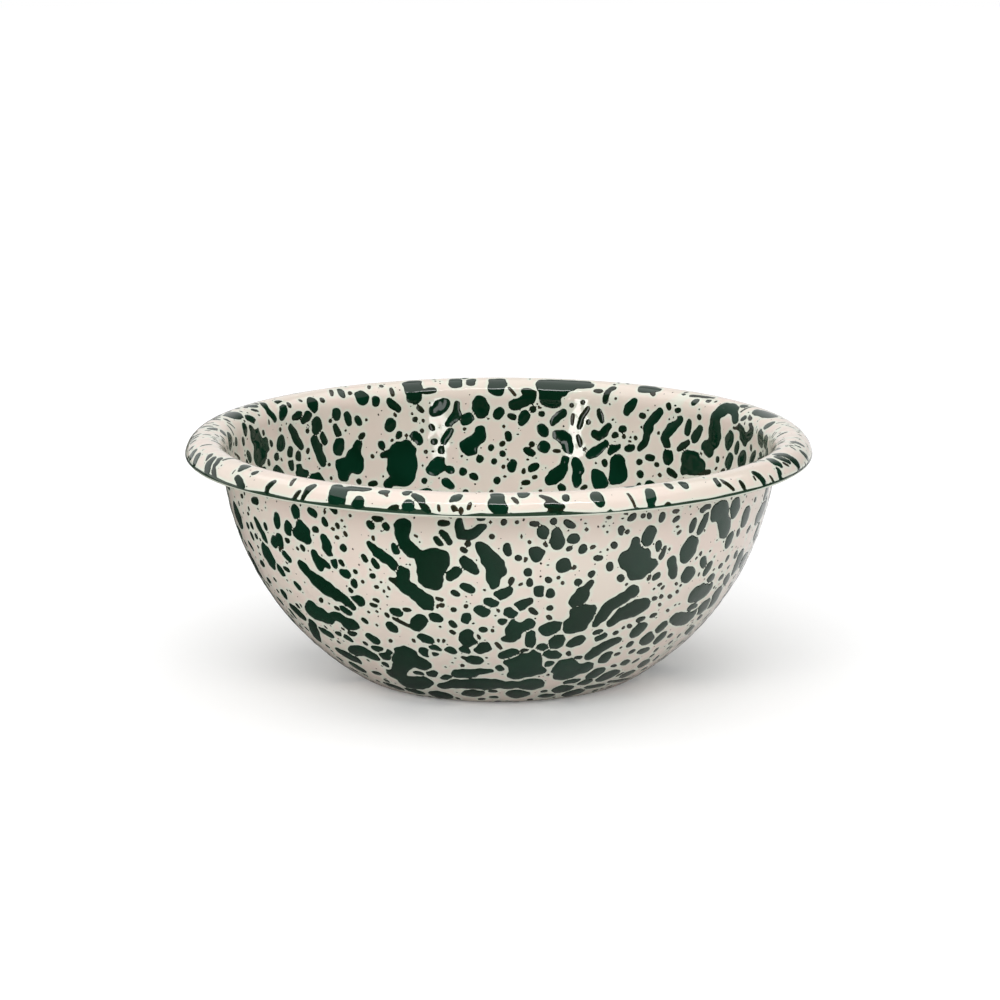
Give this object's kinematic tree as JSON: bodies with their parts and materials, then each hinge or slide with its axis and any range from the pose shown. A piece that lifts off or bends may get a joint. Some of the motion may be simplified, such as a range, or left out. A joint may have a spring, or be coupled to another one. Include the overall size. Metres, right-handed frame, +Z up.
{
  "type": "cereal bowl",
  "caption": "Round pressed-steel cereal bowl with a rolled rim and a recessed base, coated in cream vitreous enamel and spattered all over with fired dark green drops.",
  "frame": {"origin": "centre of the standing ring, on the plane that the bowl stands on", "axes": "+Z up along the bowl's axis; +X to the right and +Y to the back in the picture's view"},
  "size_m": [0.159, 0.159, 0.0621],
  "materials": {
    "steel": "satin",
    "ground_enamel": "gloss",
    "cream_enamel": "gloss",
    "edge_enamel": "gloss",
    "green_enamel": "gloss"
  },
  "bodies": {
    "root": {"steel_body": "steel", "inside_ground_coat": "ground_enamel", "outside_ground_coat": "ground_enamel", "inside_cover_coat": "cream_enamel", "outside_cover_coat": "cream_enamel", "rim_edge_bead": "edge_enamel", "inside_spatter": "green_enamel", "outside_spatter": "green_enamel", "rim_spatter": "green_enamel", "base_spatter": "green_enamel"}
  },
  "joints": []
}
